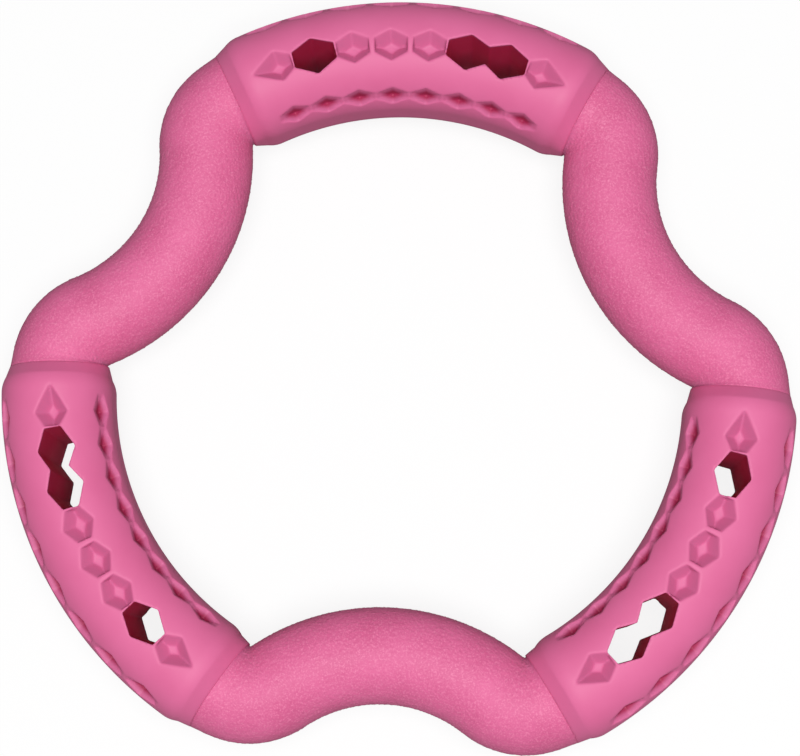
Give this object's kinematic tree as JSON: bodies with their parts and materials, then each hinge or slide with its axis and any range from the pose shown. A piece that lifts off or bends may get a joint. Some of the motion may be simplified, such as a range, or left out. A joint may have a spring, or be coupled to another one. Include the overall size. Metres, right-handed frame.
{
  "type": "rubber chew ring",
  "caption": "Flat rubber chew ring: smooth sleeves with honeycomb windows, pockets and dimples, joined by grained grips that bow in towards the middle.",
  "frame": {"origin": "centre of the ring, at half its thickness", "axes": "+Z square to the flat ring, out of the side with the picture's view; +Y to the middle of the upper sleeve; +X to the right, between the lower right sleeve and the upper right grip"},
  "size_m": [0.209, 0.1988, 0.035],
  "materials": {
    "sleeve_rubber": "smooth satin",
    "grip_rubber": "fine pebbled grain"
  },
  "bodies": {
    "root": {"sleeve_top": "sleeve_rubber", "sleeve_lower_left": "sleeve_rubber", "sleeve_lower_right": "sleeve_rubber", "grip_upper_right": "grip_rubber", "grip_upper_left": "grip_rubber", "grip_bottom": "grip_rubber"}
  },
  "joints": []
}
